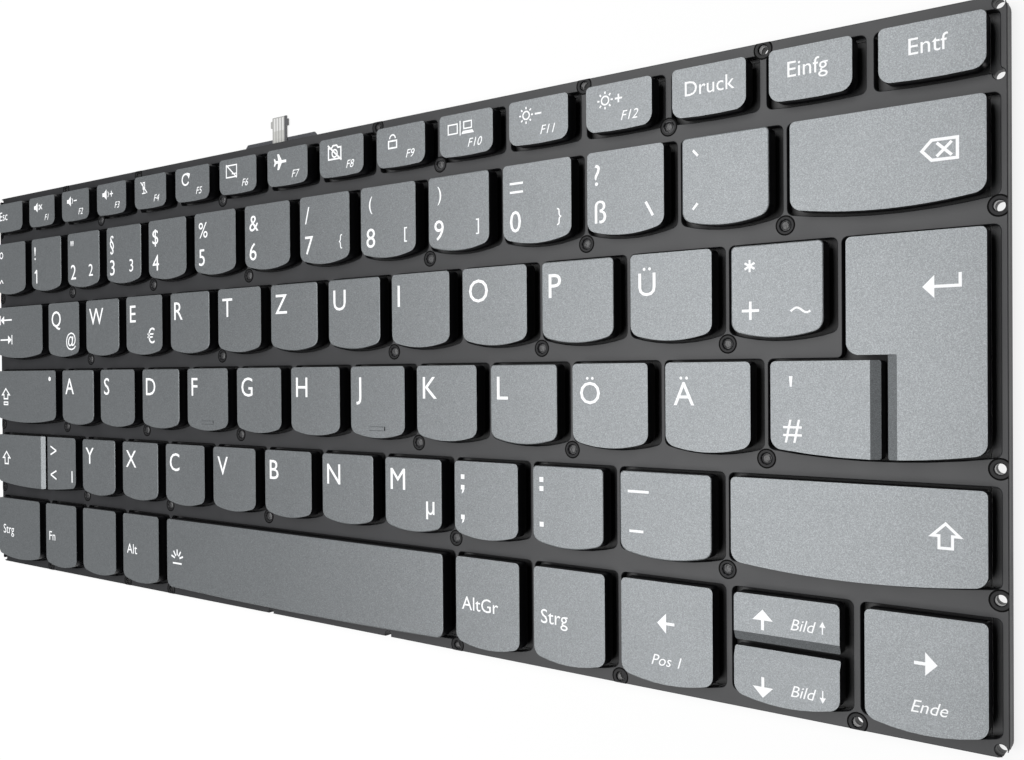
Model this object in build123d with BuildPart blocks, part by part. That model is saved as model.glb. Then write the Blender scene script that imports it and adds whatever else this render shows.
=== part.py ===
"""Laptop replacement keyboard: low flat caps in a moulded lattice frame, on a backlit switch plate.

The frame's origin is the centre of its underside, with +X to the right, +Y to the rear and +Z up.
Layers from the bottom: backlight panel, steel base plate, switch membrane, lattice frame, caps.
"""

import math
import os
from collections import namedtuple

from build123d import *

os.makedirs("parts", exist_ok=True)

# Key field, as seen from above
field_width = 277.15
row_pitch = 19.0
key_gap = 3.45
enter_width = 20.26
escape_width = 15.15
function_gap = 3.95
function_depth = 8.5
function_row_gap = 3.4
letter_depth = 15.2
front_row_depth = 17.75
digit_stagger = 20.05
upper_stagger = 28.89
home_stagger = 35.65
lower_stagger = 26.5
minus_width = 17.7
hash_width = 17.4
arrow_width = 17.6
arrow_gap = 3.85
enter_step = 0.8
pair_gap = 1.0

# Cap form
front_bow = 1.3
function_bow = 0.3
space_bow = 0.6
rear_corner = 0.5
front_corner = 2.0
cap_height = 2.75
cap_roof = 1.2
cap_skirt = 1.0
bevel_run = 1.5
bevel_drop = 0.6
cap_rise = 2.45

# Lattice frame
side_margin = 2.3
rear_margin = 2.45
front_margin = 2.0
frame_corner = 2.0
lattice_height = 1.7
rim_width = 2.55
side_clearance = 1.35
end_clearance = 0.4
stake_hole_radius = 0.85
stake_sides = 8
stake_edge_inset = 1.15
stake_row_set = 3.05
notch_first = 17.5
notch_spacing = 37.5
notch_inset = 0.3

# Layers under the lattice
panel_thickness = 0.5
plate_thickness = 0.5
membrane_thickness = 0.3
layer_clearance = 0.15

# Rubber domes and scissor links
post_radius = 2.4
dome_taper = 30
dome_sides = 6
dome_clearance = 0.3
link_length = 9.0
link_rail = 1.0
link_thickness = 0.6
link_clearance = 0.25
link_skirt_clearance = 1.025

# Rear tab of the panel and the flat flex that leaves over it
tab_width = 25.7
tab_reach = 1.7
tab_thickness = 0.2
tab_centre = -16.9
tab_corner = 1.2
flex_width = 5.0
flex_ear = 0.6
flex_ear_length = 1.6
flex_reach = 6.8
flex_thickness = 0.2

# Heights of the stack
plate_floor = panel_thickness
membrane_floor = plate_floor + plate_thickness
lattice_floor = membrane_floor + membrane_thickness
lattice_top = lattice_floor + lattice_height
cap_top = lattice_top + cap_rise
cap_ceiling = cap_top - cap_roof
dome_height = cap_ceiling - dome_clearance - lattice_floor

# Names of the one-unit keys, row by row
function_names = ["f%d" % number for number in range(1, 13)] + ["print", "insert"]
digit_names = "1 2 3 4 5 6 7 8 9 0 sharp_s acute".split()
upper_names = "q w e r t z u i o p u_umlaut plus".split()
home_names = "a s d f g h j k l o_umlaut a_umlaut".split()
lower_names = "y x c v b n m comma period minus".split()

# Key widths that fill the field between the keys at its ends
key_pitch = (field_width - upper_stagger - enter_width) / len(upper_names)
cap_width = key_pitch - key_gap
function_run = field_width - 2 * escape_width - function_gap
function_pitch = function_run / len(function_names)
function_width = function_pitch - function_gap

# Places of the field and the rows; each row is named by its rear edge
frame_width = field_width + 2 * side_margin
first_row_drop = function_depth + function_row_gap
field_depth = first_row_drop + 4 * row_pitch + front_row_depth
frame_depth = rear_margin + field_depth + front_margin
field_left = -field_width / 2
field_right = field_width / 2
function_rear = frame_depth / 2 - rear_margin
digit_rear = function_rear - first_row_drop
upper_rear = digit_rear - row_pitch
home_rear = upper_rear - row_pitch
lower_rear = home_rear - row_pitch
front_rear = lower_rear - row_pitch

Key = namedtuple("Key", "name left right rear front bow")


def equal_keys(names, left, rear):
    """One-unit keys at the key pitch, from a left edge."""
    starts = [left + i * key_pitch for i in range(len(names))]
    return [
        Key(name, start, start + cap_width, rear, rear - letter_depth, front_bow)
        for name, start in zip(names, starts)
    ]


def wide_row(names, stagger, rear, first, last):
    """A row of one-unit keys with a wide key that fills the field at each end."""
    row = equal_keys(names, field_left + stagger, rear)
    front = rear - letter_depth
    left_key = Key(first, field_left, row[0].left - key_gap, rear, front, front_bow)
    right_key = Key(last, row[-1].right + key_gap, field_right, rear, front, front_bow)
    return [left_key, *row, right_key]


def function_row():
    """Sixteen half-depth keys: equal ones between two that fill the field's ends."""
    front = function_rear - function_depth
    escape = Key("escape", field_left, field_left + escape_width, function_rear, front, function_bow)
    starts = [escape.right + function_gap + i * function_pitch for i in range(len(function_names))]
    row = [
        Key(name, start, start + function_width, function_rear, front, function_bow)
        for name, start in zip(function_names, starts)
    ]
    delete = escape._replace(name="delete", left=field_right - escape_width, right=field_right)
    return [escape, *row, delete]


def front_row():
    """The front row: one-unit keys beside the space bar, and the arrows at the right."""
    front = front_rear - front_row_depth
    left = equal_keys(["fn", "system", "alt"], field_left + lower_stagger, front_rear)
    control = left[0]._replace(name="left_control", left=field_left, right=left[0].left - key_gap)
    right_arrow = Key("right_arrow", field_right - arrow_width, field_right, front_rear, front, front_bow)
    middle = right_arrow.left - arrow_gap
    up_down = Key("up_down", middle - arrow_width, middle, front_rear, front, front_bow)
    left_end = up_down.left - arrow_gap
    left_arrow = Key("left_arrow", left_end - arrow_width, left_end, front_rear, front, front_bow)
    pair_left = left_arrow.left - 2 * key_pitch
    right = equal_keys(["alt_graph", "right_control"], pair_left, front_rear)
    space = Key("space", left[-1].right + key_gap, pair_left - key_gap, front_rear, front, space_bow)
    row = [control, *left, space, *right, left_arrow, up_down, right_arrow]
    return [key._replace(front=front) for key in row]


def lower_row():
    """The row of the two shift keys; the left one shares its outline with the key beside it."""
    row = equal_keys(lower_names, field_left + lower_stagger + key_pitch, lower_rear)
    row[-1] = row[-1]._replace(right=row[-1].left + minus_width)
    front = lower_rear - letter_depth
    pair = Key("left_shift_pair", field_left, row[0].left - key_gap, lower_rear, front, front_bow)
    right_shift = Key("right_shift", row[-1].right + key_gap, field_right, lower_rear, front, front_bow)
    return [pair, *row, right_shift]


rows = [
    function_row(),
    wide_row(digit_names, digit_stagger, digit_rear, "circumflex", "backspace"),
    wide_row(upper_names, upper_stagger, upper_rear, "tab", "enter"),
    wide_row(home_names, home_stagger, home_rear, "caps_lock", "hash_pair"),
    lower_row(),
    front_row(),
]
keys = {key.name: key for row in rows for key in row}

# Where the keys that share one outline part from each other
shift_split = field_left + lower_stagger - pair_gap
hash_split = keys["hash_pair"].left + hash_width
arrow_split = front_rear - (front_row_depth - pair_gap) / 2


def outline(key, side=0.0, end=0.0, corners=True):
    """A cap seen from above: straight rear, bowed front, grown sideways and endways for an opening."""
    left, right = key.left - side, key.right + side
    rear, front = key.rear + end, key.front - end
    shoulder = front + key.bow
    with BuildSketch() as shape:
        with BuildLine():
            Polyline((left, shoulder), (left, rear), (right, rear), (right, shoulder))
            ThreePointArc((right, shoulder), ((left + right) / 2, front), (left, shoulder))
        make_face()
        if corners:
            chamfer(shape.vertices().group_by(Axis.Y)[-1], rear_corner)
            fillet(shape.vertices().group_by(Axis.Y)[0], front_corner)
    return shape.sketch


def cut_box(shape, left, right, rear, front):
    """The part of an outline inside a box."""
    with BuildSketch() as piece:
        add(shape)
        with Locations(((left + right) / 2, (rear + front) / 2)):
            Rectangle(right - left, rear - front, mode=Mode.INTERSECT)
    return piece.sketch


def enter_upper(side=0.0, end=0.0, corners=True):
    """The upper, wider part of the angled enter key."""
    key = keys["enter"]
    left, right = key.left - side, key.right + side
    rear, front = key.rear + end, home_rear + enter_step - end
    with BuildSketch() as shape:
        with Locations(((left + right) / 2, (rear + front) / 2)):
            Rectangle(right - left, rear - front)
        if corners:
            chamfer(shape.vertices().group_by(Axis.Y)[-1], rear_corner)
            fillet(shape.vertices().group_by(Axis.Y)[0].sort_by(Axis.X)[0], front_corner)
    return shape.sketch


def cap_outlines():
    """Every cap's outline by name, with the shared outlines parted."""
    paired = ("left_shift_pair", "hash_pair", "up_down", "enter")
    shapes = {name: outline(key) for name, key in keys.items() if name not in paired}
    pair = keys["left_shift_pair"]
    shapes["left_shift"] = cut_box(outline(pair), pair.left, shift_split, pair.rear, pair.front)
    shapes["less_than"] = cut_box(outline(pair), shift_split + pair_gap, pair.right, pair.rear, pair.front)
    pair = keys["hash_pair"]
    shapes["hash"] = cut_box(outline(pair), pair.left, hash_split, pair.rear, pair.front)
    pair = pair._replace(rear=keys["enter"].rear)
    with BuildSketch() as enter:
        add(cut_box(outline(pair), hash_split + pair_gap, pair.right, pair.rear, pair.front))
        add(enter_upper())
    shapes["enter"] = enter.sketch
    pair = keys["up_down"]
    half_gap = pair_gap / 2
    shapes["up_arrow"] = cut_box(outline(pair), pair.left, pair.right, pair.rear, arrow_split + half_gap)
    shapes["down_arrow"] = cut_box(outline(pair), pair.left, pair.right, arrow_split - half_gap, pair.front)
    return shapes


# Caps whose parting edge slopes down: where that edge lies, along X or Y
edge_tolerance = 0.01
bevels = {
    "left_shift": (Axis.X, shift_split),
    "less_than": (Axis.X, shift_split + pair_gap),
    "hash": (Axis.X, hash_split),
    "enter": (Axis.X, hash_split + pair_gap),
    "up_arrow": (Axis.Y, arrow_split + pair_gap / 2),
    "down_arrow": (Axis.Y, arrow_split - pair_gap / 2),
}


def pocket_boxes(name, shape):
    """Boxes of a cap's hollow underside, one for a plain cap and two for the angled one."""
    box = shape.bounding_box()
    left, right = box.min.X + cap_skirt, box.max.X - cap_skirt
    rear = box.max.Y - cap_skirt
    front = box.min.Y + cap_skirt + front_bow
    if name != "enter":
        return [(left, right, rear, front)]
    step = home_rear + enter_step + cap_skirt
    return [(left, right, rear, step), (hash_split + pair_gap + cap_skirt, right, rear, front)]


def cap(name, shape):
    """One hollow cap, with a sloping edge where it parts from its neighbour."""
    with BuildPart() as body:
        with BuildSketch(Plane.XY.offset(cap_top - cap_height)):
            add(shape)
        extrude(amount=cap_height)
        if name in bevels:
            axis, place = bevels[name]
            top_edges = body.edges().group_by(Axis.Z)[-1]
            edges = top_edges.filter_by_position(axis, place - edge_tolerance, place + edge_tolerance)
            face = body.faces().sort_by(Axis.Z)[-1]
            chamfer(edges, length=bevel_run, length2=bevel_drop, reference=face)
        with BuildSketch(Plane.XY.offset(cap_top - cap_height)):
            for left, right, rear, front in pocket_boxes(name, shape):
                with Locations(((left + right) / 2, (rear + front) / 2)):
                    Rectangle(right - left, rear - front)
        extrude(amount=cap_height - cap_roof, mode=Mode.SUBTRACT)
    return body.part


def cap_middle(name, shape):
    """Where the dome and the links stand under a cap."""
    left, right, rear, front = pocket_boxes(name, shape)[0]
    return ((left + right) / 2, (rear + front) / 2)


shapes = cap_outlines()
wide_moving = ["backspace", "tab", "enter", "caps_lock", "left_shift", "right_shift", "space"]
moving = digit_names + upper_names + home_names + lower_names + wide_moving
fixed = [name for name in shapes if name not in moving]
middles = {name: cap_middle(name, shape) for name, shape in shapes.items()}

# Moving caps, one piece each
for name in moving:
    moving_cap = cap(name, shapes[name])
    moving_cap.label = "key_" + name
    export_step(moving_cap, "parts/key_%s.step" % name)

# Caps that share one node, each standing on its own post
with BuildPart() as fixed_keys:
    for name in fixed:
        add(cap(name, shapes[name]))
    with BuildSketch(Plane.XY.offset(lattice_floor)):
        with Locations(*[middles[name] for name in fixed]):
            RegularPolygon(post_radius, dome_sides)
    extrude(amount=cap_ceiling - lattice_floor)
fixed_keys.part.label = "fixed_keys"
export_step(fixed_keys.part, "parts/fixed_keys.step")

# Widths under a cap, from its skirt inwards: outer link, inner link, dome
outer_link_width = cap_width - 2 * cap_skirt - 2 * link_skirt_clearance
inner_link_width = outer_link_width - 2 * link_rail - 2 * link_clearance
dome_radius = min(inner_link_width, link_length) / 2 - link_rail - dome_clearance

# Rubber domes of the moving caps, glued on the membrane
with BuildPart() as rubber_domes:
    with BuildSketch(Plane.XY.offset(lattice_floor)):
        with Locations(*[middles[name] for name in moving]):
            RegularPolygon(dome_radius, dome_sides)
    extrude(amount=dome_height, taper=dome_taper)
rubber_domes.part.label = "rubber_domes"
export_step(rubber_domes.part, "parts/rubber_domes.step")

# Scissor links of the moving caps: the inner link crosses inside the outer one, round the dome
link_rise = dome_height - link_thickness - link_clearance
link_lean = math.asin(link_rise / link_length)
link_middle = lattice_floor + dome_height / 2


def link_planes(lean):
    """A plane at each moving cap, tipped about X."""
    tilt = (0, math.sin(lean), math.cos(lean))
    return [Plane(origin=(*middles[name], link_middle), x_dir=(1, 0, 0), z_dir=tilt) for name in moving]


with BuildPart() as scissor_links:
    for width, lean in ((outer_link_width, link_lean), (inner_link_width, -link_lean)):
        with BuildSketch(*link_planes(lean)):
            Rectangle(width, link_length)
            Rectangle(width - 2 * link_rail, link_length - 2 * link_rail, mode=Mode.SUBTRACT)
        extrude(amount=link_thickness / 2, both=True)
scissor_links.part.label = "scissor_links"
export_step(scissor_links.part, "parts/scissor_links.step")


def gap_after(row, number):
    """The middle of the gap to the right of a key, counted from the left of its row."""
    return (row[number].right + row[number + 1].left) / 2


# Stake holes, named by the keys whose gap they stand in, row by row
stakes_after = [(2, 5, 9, 12), (1, 3, 5, 8, 10, 12), (1, 4, 7, 9, 11), (0, 2, 4, 7, 9, 11), (0, 2, 4, 7, 10)]
row_rears = [function_rear, digit_rear, upper_rear, home_rear, lower_rear, front_rear]
inner_stakes = [
    (gap_after(row, number), rear + stake_row_set)
    for row, numbers, rear in zip(rows, stakes_after, row_rears[1:])
    for number in numbers
]
edge_x = frame_width / 2 - stake_edge_inset
edge_y = frame_depth / 2 - stake_edge_inset
rear_stakes = [(gap_after(rows[0], number), edge_y) for number in (1, 3, 8, 11, 13)]
front_stakes = [(gap_after(rows[-1], number), -edge_y) for number in (0, 2, 3, 4, 6, 8)]
side_rears = (digit_rear, upper_rear, lower_rear, front_rear)
side_stakes = [(x, rear + stake_row_set) for x in (-edge_x, edge_x) for rear in side_rears]
corner_stakes = [(x, y) for x in (-edge_x, edge_x) for y in (-edge_y, edge_y)]
edge_stakes = rear_stakes + front_stakes + side_stakes + corner_stakes

# Open notches in the front edge, counted from the right end of the space bar
first_notch = keys["space"].right - notch_first
notches = [(x, notch_inset - frame_depth / 2) for x in (first_notch, first_notch - notch_spacing)]

# Lattice frame with a rim that goes down round the layers
pocket_width = frame_width - 2 * rim_width
pocket_depth = frame_depth - 2 * rim_width
with BuildPart() as key_frame:
    with BuildSketch(Plane.XY.offset(lattice_floor)):
        RectangleRounded(frame_width, frame_depth, frame_corner)
        for key in keys.values():
            add(outline(key, side_clearance, end_clearance, False), mode=Mode.SUBTRACT)
        add(enter_upper(side_clearance, end_clearance, False), mode=Mode.SUBTRACT)
        with Locations(*inner_stakes):
            RegularPolygon(stake_hole_radius, stake_sides, mode=Mode.SUBTRACT)
        with Locations(*edge_stakes, *notches):
            Circle(stake_hole_radius, mode=Mode.SUBTRACT)
    extrude(amount=lattice_height)
    with BuildSketch():
        RectangleRounded(frame_width, frame_depth, frame_corner)
        Rectangle(pocket_width, pocket_depth, mode=Mode.SUBTRACT)
        with Locations(*edge_stakes, *notches):
            Circle(stake_hole_radius, mode=Mode.SUBTRACT)
    extrude(amount=lattice_floor)
    with BuildSketch():
        with Locations((tab_centre, frame_depth / 2 - rim_width / 2)):
            Rectangle(tab_width + 2 * layer_clearance, rim_width)
    extrude(amount=panel_thickness, mode=Mode.SUBTRACT)
key_frame.part.label = "key_frame"
export_step(key_frame.part, "parts/key_frame.step")

# Switch membrane and steel plate, cut to the rim's pocket
layer_width = pocket_width - 2 * layer_clearance
layer_depth = pocket_depth - 2 * layer_clearance
with BuildPart() as membrane:
    with BuildSketch(Plane.XY.offset(membrane_floor)):
        Rectangle(layer_width, layer_depth)
    extrude(amount=membrane_thickness)
membrane.part.label = "membrane"
export_step(membrane.part, "parts/membrane.step")

with BuildPart() as base_plate:
    with BuildSketch(Plane.XY.offset(plate_floor)):
        Rectangle(layer_width, layer_depth)
    extrude(amount=plate_thickness)
base_plate.part.label = "base_plate"
export_step(base_plate.part, "parts/base_plate.step")

# Backlight panel: a bonded sheet with a thin tab that leaves under the rim at the rear
with BuildPart() as backlight_panel:
    with BuildSketch():
        Rectangle(layer_width, layer_depth)
    extrude(amount=panel_thickness)
    tab_start = layer_depth / 2
    tab_end = frame_depth / 2 + tab_reach
    with BuildSketch() as tab:
        with Locations((tab_centre, (tab_start + tab_end) / 2)):
            Rectangle(tab_width, tab_end - tab_start)
        chamfer(tab.vertices().group_by(Axis.Y)[-1], tab_corner)
    extrude(amount=tab_thickness)
backlight_panel.part.label = "backlight_panel"
export_step(backlight_panel.part, "parts/backlight_panel.step")

# Flat flex of the backlight, lying on the tab, with a stiffened end that has ears
with BuildPart() as backlight_flex:
    flex_end = frame_depth / 2 + flex_reach
    with BuildSketch(Plane.XY.offset(tab_thickness)):
        with Locations((tab_centre, (tab_start + flex_end) / 2)):
            Rectangle(flex_width, flex_end - tab_start)
        with Locations((tab_centre, flex_end - flex_ear_length)):
            Rectangle(flex_width + 2 * flex_ear, flex_ear_length)
    extrude(amount=flex_thickness)
backlight_flex.part.label = "backlight_flex"
export_step(backlight_flex.part, "parts/backlight_flex.step")
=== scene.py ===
import math

import bmesh
import bpy
from mathutils import Matrix, Vector


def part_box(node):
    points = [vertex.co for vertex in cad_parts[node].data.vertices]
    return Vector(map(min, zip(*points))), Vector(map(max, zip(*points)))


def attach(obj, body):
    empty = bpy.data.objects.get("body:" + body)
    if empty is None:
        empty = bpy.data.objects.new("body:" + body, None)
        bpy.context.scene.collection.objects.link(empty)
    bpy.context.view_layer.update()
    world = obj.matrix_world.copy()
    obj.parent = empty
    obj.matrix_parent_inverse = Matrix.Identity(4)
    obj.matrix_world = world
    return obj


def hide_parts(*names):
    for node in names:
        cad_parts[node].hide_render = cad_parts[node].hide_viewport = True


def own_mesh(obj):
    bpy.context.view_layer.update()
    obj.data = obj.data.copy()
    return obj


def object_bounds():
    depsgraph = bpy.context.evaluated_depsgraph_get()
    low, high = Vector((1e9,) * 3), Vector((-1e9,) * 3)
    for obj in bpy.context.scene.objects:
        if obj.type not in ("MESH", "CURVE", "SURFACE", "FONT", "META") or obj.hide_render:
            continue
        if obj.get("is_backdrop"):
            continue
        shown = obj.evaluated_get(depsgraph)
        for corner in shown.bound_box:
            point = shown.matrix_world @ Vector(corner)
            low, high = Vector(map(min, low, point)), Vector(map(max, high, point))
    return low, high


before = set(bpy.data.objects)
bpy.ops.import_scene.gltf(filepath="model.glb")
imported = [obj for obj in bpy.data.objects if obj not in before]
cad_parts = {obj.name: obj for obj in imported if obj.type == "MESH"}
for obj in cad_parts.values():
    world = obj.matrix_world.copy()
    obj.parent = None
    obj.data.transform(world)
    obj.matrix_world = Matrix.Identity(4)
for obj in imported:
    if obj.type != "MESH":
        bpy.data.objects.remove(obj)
cad_low, cad_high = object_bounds()
scene = bpy.context.scene
scene.view_settings.view_transform = "Standard"

# The view: a camera close above the right-hand end, looking down along the rows to the left,
# with the rear edge at the top of the picture.
camera_place = Vector((0.17096, 0.00115, 0.16420))
camera_aim = Vector((0.05429, -0.00024, 0.00545))
camera_lens = 36.213
camera_roll = math.radians(0.395)
lens = bpy.data.cameras.new("camera")
lens.sensor_width = 36.0
lens.lens = camera_lens
camera = bpy.data.objects.new("camera", lens)
forward = (camera_aim - camera_place).normalized()
level = forward.cross(Vector((0, 1, 0))).normalized()
right = level * math.cos(camera_roll) - level.cross(forward) * math.sin(camera_roll)
turn = Matrix((right, right.cross(forward), -forward)).transposed()
camera.matrix_world = Matrix.Translation(camera_place) @ turn.to_4x4()
scene.collection.objects.link(camera)
scene.camera = camera

# The ground: a plain pale sheet that shows white and keeps the soft shadow of the keyboard.
# It is seen from above only, so that the underside can be looked at through it.
ground_reach, ground_drop = 1.6, 0.00005
ground_shade, seen_share = 0.86, 0.86


class Socket:
    """A value in a shader: an output of one of its nodes. Sums and products add Math nodes."""

    def __init__(self, tree, output=None):
        self.tree = tree
        self.output = output

    def node(self, kind, settings, inputs, output=0):
        """Adds a node of any kind: its settings first, then the values or links of its sockets."""
        node = self.tree.nodes.new(kind)
        for name, setting in settings.items():
            if name == "stops":
                stops = node.color_ramp.elements
                while len(stops) < len(setting):
                    stops.new(1.0)
                for stop, (place, shade) in zip(stops, setting):
                    stop.position = place
                    stop.color = (*shade, 1.0)
            else:
                setattr(node, name, setting)
        for name, value in inputs.items():
            if isinstance(value, Socket):
                self.tree.links.new(value.output, node.inputs[name])
            else:
                node.inputs[name].default_value = value
        return Socket(self.tree, node.outputs[output] if node.outputs else None)

    def maths(self, operation, first, second):
        return self.node("ShaderNodeMath", {"operation": operation}, {0: first, 1: second})

    def __add__(self, other):
        return self.maths("ADD", self, other)

    def __mul__(self, other):
        return self.maths("MULTIPLY", self, other)

    __radd__ = __add__
    __rmul__ = __mul__


ground_mesh = bpy.data.meshes.new("ground")
form = bmesh.new()
bmesh.ops.create_grid(form, x_segments=1, y_segments=1, size=ground_reach)
bmesh.ops.translate(form, verts=form.verts, vec=(0, 0, cad_low.z - ground_drop))
form.to_mesh(ground_mesh)
form.free()
ground = bpy.data.objects.new("ground", ground_mesh)
scene.collection.objects.link(ground)
ground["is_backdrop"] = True

ground_paint = bpy.data.materials.new("ground_white")
ground_paint.use_nodes = True
ground_paint.node_tree.nodes.clear()
tree = Socket(ground_paint.node_tree)
direct = tree.node("ShaderNodeLightPath", {}, {}, "Is Camera Ray")
glossy = tree.node("ShaderNodeLightPath", {}, {}, "Is Glossy Ray")
through = tree.node("ShaderNodeLightPath", {}, {}, "Is Transmission Ray")
matt = tree.node("ShaderNodeBsdfDiffuse", {}, {"Color": (ground_shade, ground_shade, ground_shade, 1)})
bright = tree.node("ShaderNodeEmission", {}, {"Color": (1, 1, 1, 1), "Strength": 1.0})
seen_white = (direct + glossy + through) * seen_share
face = tree.node("ShaderNodeMixShader", {}, {0: seen_white, 1: matt, 2: bright})
clear = tree.node("ShaderNodeBsdfTransparent", {}, {})
back = tree.node("ShaderNodeNewGeometry", {}, {}, "Backfacing")
sheet = tree.node("ShaderNodeMixShader", {}, {0: back, 1: face, 2: clear})
tree.node("ShaderNodeOutputMaterial", {}, {"Surface": sheet})
ground_mesh.materials.append(ground_paint)

# The light: one wide soft box overhead and to the left, which the right-hand caps reflect towards the
# camera, and a dim even sky that shows white to the camera.
lamp_place = Vector((-0.15, 0.05, 0.60))
lamp_width, lamp_depth, lamp_power = 0.50, 0.90, 6.8
lamp = bpy.data.lights.new("soft_box", "AREA")
lamp.shape = "RECTANGLE"
lamp.size = lamp_width
lamp.size_y = lamp_depth
lamp.energy = lamp_power
holder = bpy.data.objects.new("soft_box", lamp)
holder.location = lamp_place
scene.collection.objects.link(holder)

sky_level = 0.06
world = bpy.data.worlds.new("studio")
world.use_nodes = True
world.node_tree.nodes.clear()
tree = Socket(world.node_tree)
direct = tree.node("ShaderNodeLightPath", {}, {}, "Is Camera Ray")
through = tree.node("ShaderNodeLightPath", {}, {}, "Is Transmission Ray")
strength = sky_level + (1 - sky_level) * (direct + through)
sky = tree.node("ShaderNodeBackground", {}, {"Color": (1, 1, 1, 1), "Strength": strength})
tree.node("ShaderNodeOutputWorld", {}, {"Surface": sky})
scene.world = world

# The backlight panel: a reflector, a light guide and a black film, bonded into one thin sheet. It lies
# under the steel plate, and a tab of its film leaves under the frame at the rear.
mm = 0.001
weld = 0.002 * mm


def finish(name, colour, roughness, **constants):
    """A new material with its fixed values set, its shader, and its surface place in millimetres."""
    material = bpy.data.materials.new(name)
    material.use_nodes = True
    shader = material.node_tree.nodes["Principled BSDF"]
    shader.inputs["Base Color"].default_value = (*colour, 1)
    shader.inputs["Roughness"].default_value = roughness
    for socket, value in constants.items():
        shader.inputs[socket.replace("_", " ")].default_value = value
    tree = Socket(material.node_tree)
    place = tree.node("ShaderNodeTexCoord", {}, {}, "Object")
    scaled = tree.node("ShaderNodeVectorMath", {"operation": "SCALE"}, {0: place, "Scale": 1 / mm})
    return material, shader, tree, scaled


def grain(tree, place, cells_per_mm, detail=2.0):
    """Noise between 0 and 1, with so many cells to the millimetre."""
    inputs = {"Vector": place, "Scale": cells_per_mm, "Detail": detail, "Roughness": 0.6}
    return tree.node("ShaderNodeTexNoise", {}, inputs, "Fac")


def shade_between(tree, factor, first, second):
    settings = {"data_type": "RGBA"}
    inputs = {0: factor, 6: (*first, 1), 7: (*second, 1)}
    return tree.node("ShaderNodeMix", settings, inputs, 2)


def feed(tree, shader, **links):
    """Links values to the shader's own sockets."""
    for name, value in links.items():
        tree.tree.links.new(value.output, shader.inputs[name.replace("_", " ")])


def bumped(tree, height, depth):
    inputs = {"Height": height, "Strength": 1.0, "Distance": depth}
    return tree.node("ShaderNodeBump", {}, inputs)


def panel_film():
    """Satin black film with a faint waviness."""
    material, shader, tree, place = finish("panel_film", (0.05, 0.052, 0.06), 0.38)
    wave = grain(tree, place, 0.06)
    fine = grain(tree, place, 5.0)
    colour = shade_between(tree, wave, (0.042, 0.044, 0.05), (0.062, 0.064, 0.074))
    feed(tree, shader, Base_Color=colour, Roughness=0.3 + 0.1 * wave + 0.08 * fine)
    feed(tree, shader, Normal=bumped(tree, wave + 0.02 * fine, 0.12 * mm))
    return material


def dress(node, material):
    """Gives a solid that stays in view its finish."""
    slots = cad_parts[node].data.materials
    slots.clear()
    slots.append(material)


dress("backlight_panel", panel_film())

# The flex of the backlight: a pale flat ribbon with four printed leads under a cover film. Its bare end is
# stiffened, has an ear at each side for the host's socket, and lies on the panel's tab.
flex_corner, flex_corner_round = 0.1, 0.15
lead_count, lead_pitch, lead_width, lead_rise = 4, 0.95, 0.6, 0.03
leads_shift, bare_lead_inset = 2.1, 0.25
cover_share = 0.66
strip_set, strip_width = 2.5, 0.8
ear_front_set, ear_rear_set = 2.4, 0.8
square_turn = 60


def cad_form(node):
    """A copy of a solid's mesh with its loose triangles merged into whole faces."""
    form = bmesh.new()
    form.from_mesh(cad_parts[node].data)
    bmesh.ops.remove_doubles(form, verts=form.verts, dist=weld)
    bmesh.ops.dissolve_limit(form, angle_limit=math.radians(0.4), verts=form.verts, edges=form.edges)
    return form


def round_edges(form, edges, offset, segments):
    """Rounds edges, each no further than its neighbours leave room for."""
    bmesh.ops.bevel(
        form, geom=edges, offset=offset, segments=segments, profile=0.5, affect="EDGES", material=-1,
        clamp_overlap=True,
    )


def upright_corners(form, height, least_turn):
    """Upright edges of at least this height where the wall turns by at least so many degrees."""
    found = []
    for edge in form.edges:
        first, second = edge.verts
        if abs(first.co.z - second.co.z) > height and len(edge.link_faces) == 2:
            if edge.calc_face_angle(0) > math.radians(least_turn):
                found.append(edge)
    return found


def block(form, low, high, material_index):
    """A box between two corners."""
    low, high = Vector(low), Vector(high)
    made = bmesh.ops.create_cube(form, size=1.0)["verts"]
    bmesh.ops.scale(form, verts=made, vec=high - low)
    bmesh.ops.translate(form, verts=made, vec=(low + high) / 2)
    for face in {face for vertex in made for face in vertex.link_faces}:
        face.material_index = material_index


def piece(name, form, body, materials, slot, *nodes):
    """A finished piece in the scene, which rides on a body and stands for these solids."""
    mesh = bpy.data.meshes.new(name)
    form.to_mesh(mesh)
    form.free()
    for material in materials:
        mesh.materials.append(material)
    made = bpy.data.objects.new(name, mesh)
    scene.collection.objects.link(made)
    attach(made, body)
    if nodes:
        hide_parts(*nodes)
    return made


def film(name, dark, light, rough):
    """A smooth printed film between two near colours."""
    material, shader, tree, place = finish(name, light, rough)
    fine = grain(tree, place, 4.0)
    feed(tree, shader, Base_Color=shade_between(tree, fine, dark, light), Roughness=rough + 0.15 * fine)
    feed(tree, shader, Normal=bumped(tree, fine, 0.004 * mm))
    return material


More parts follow.
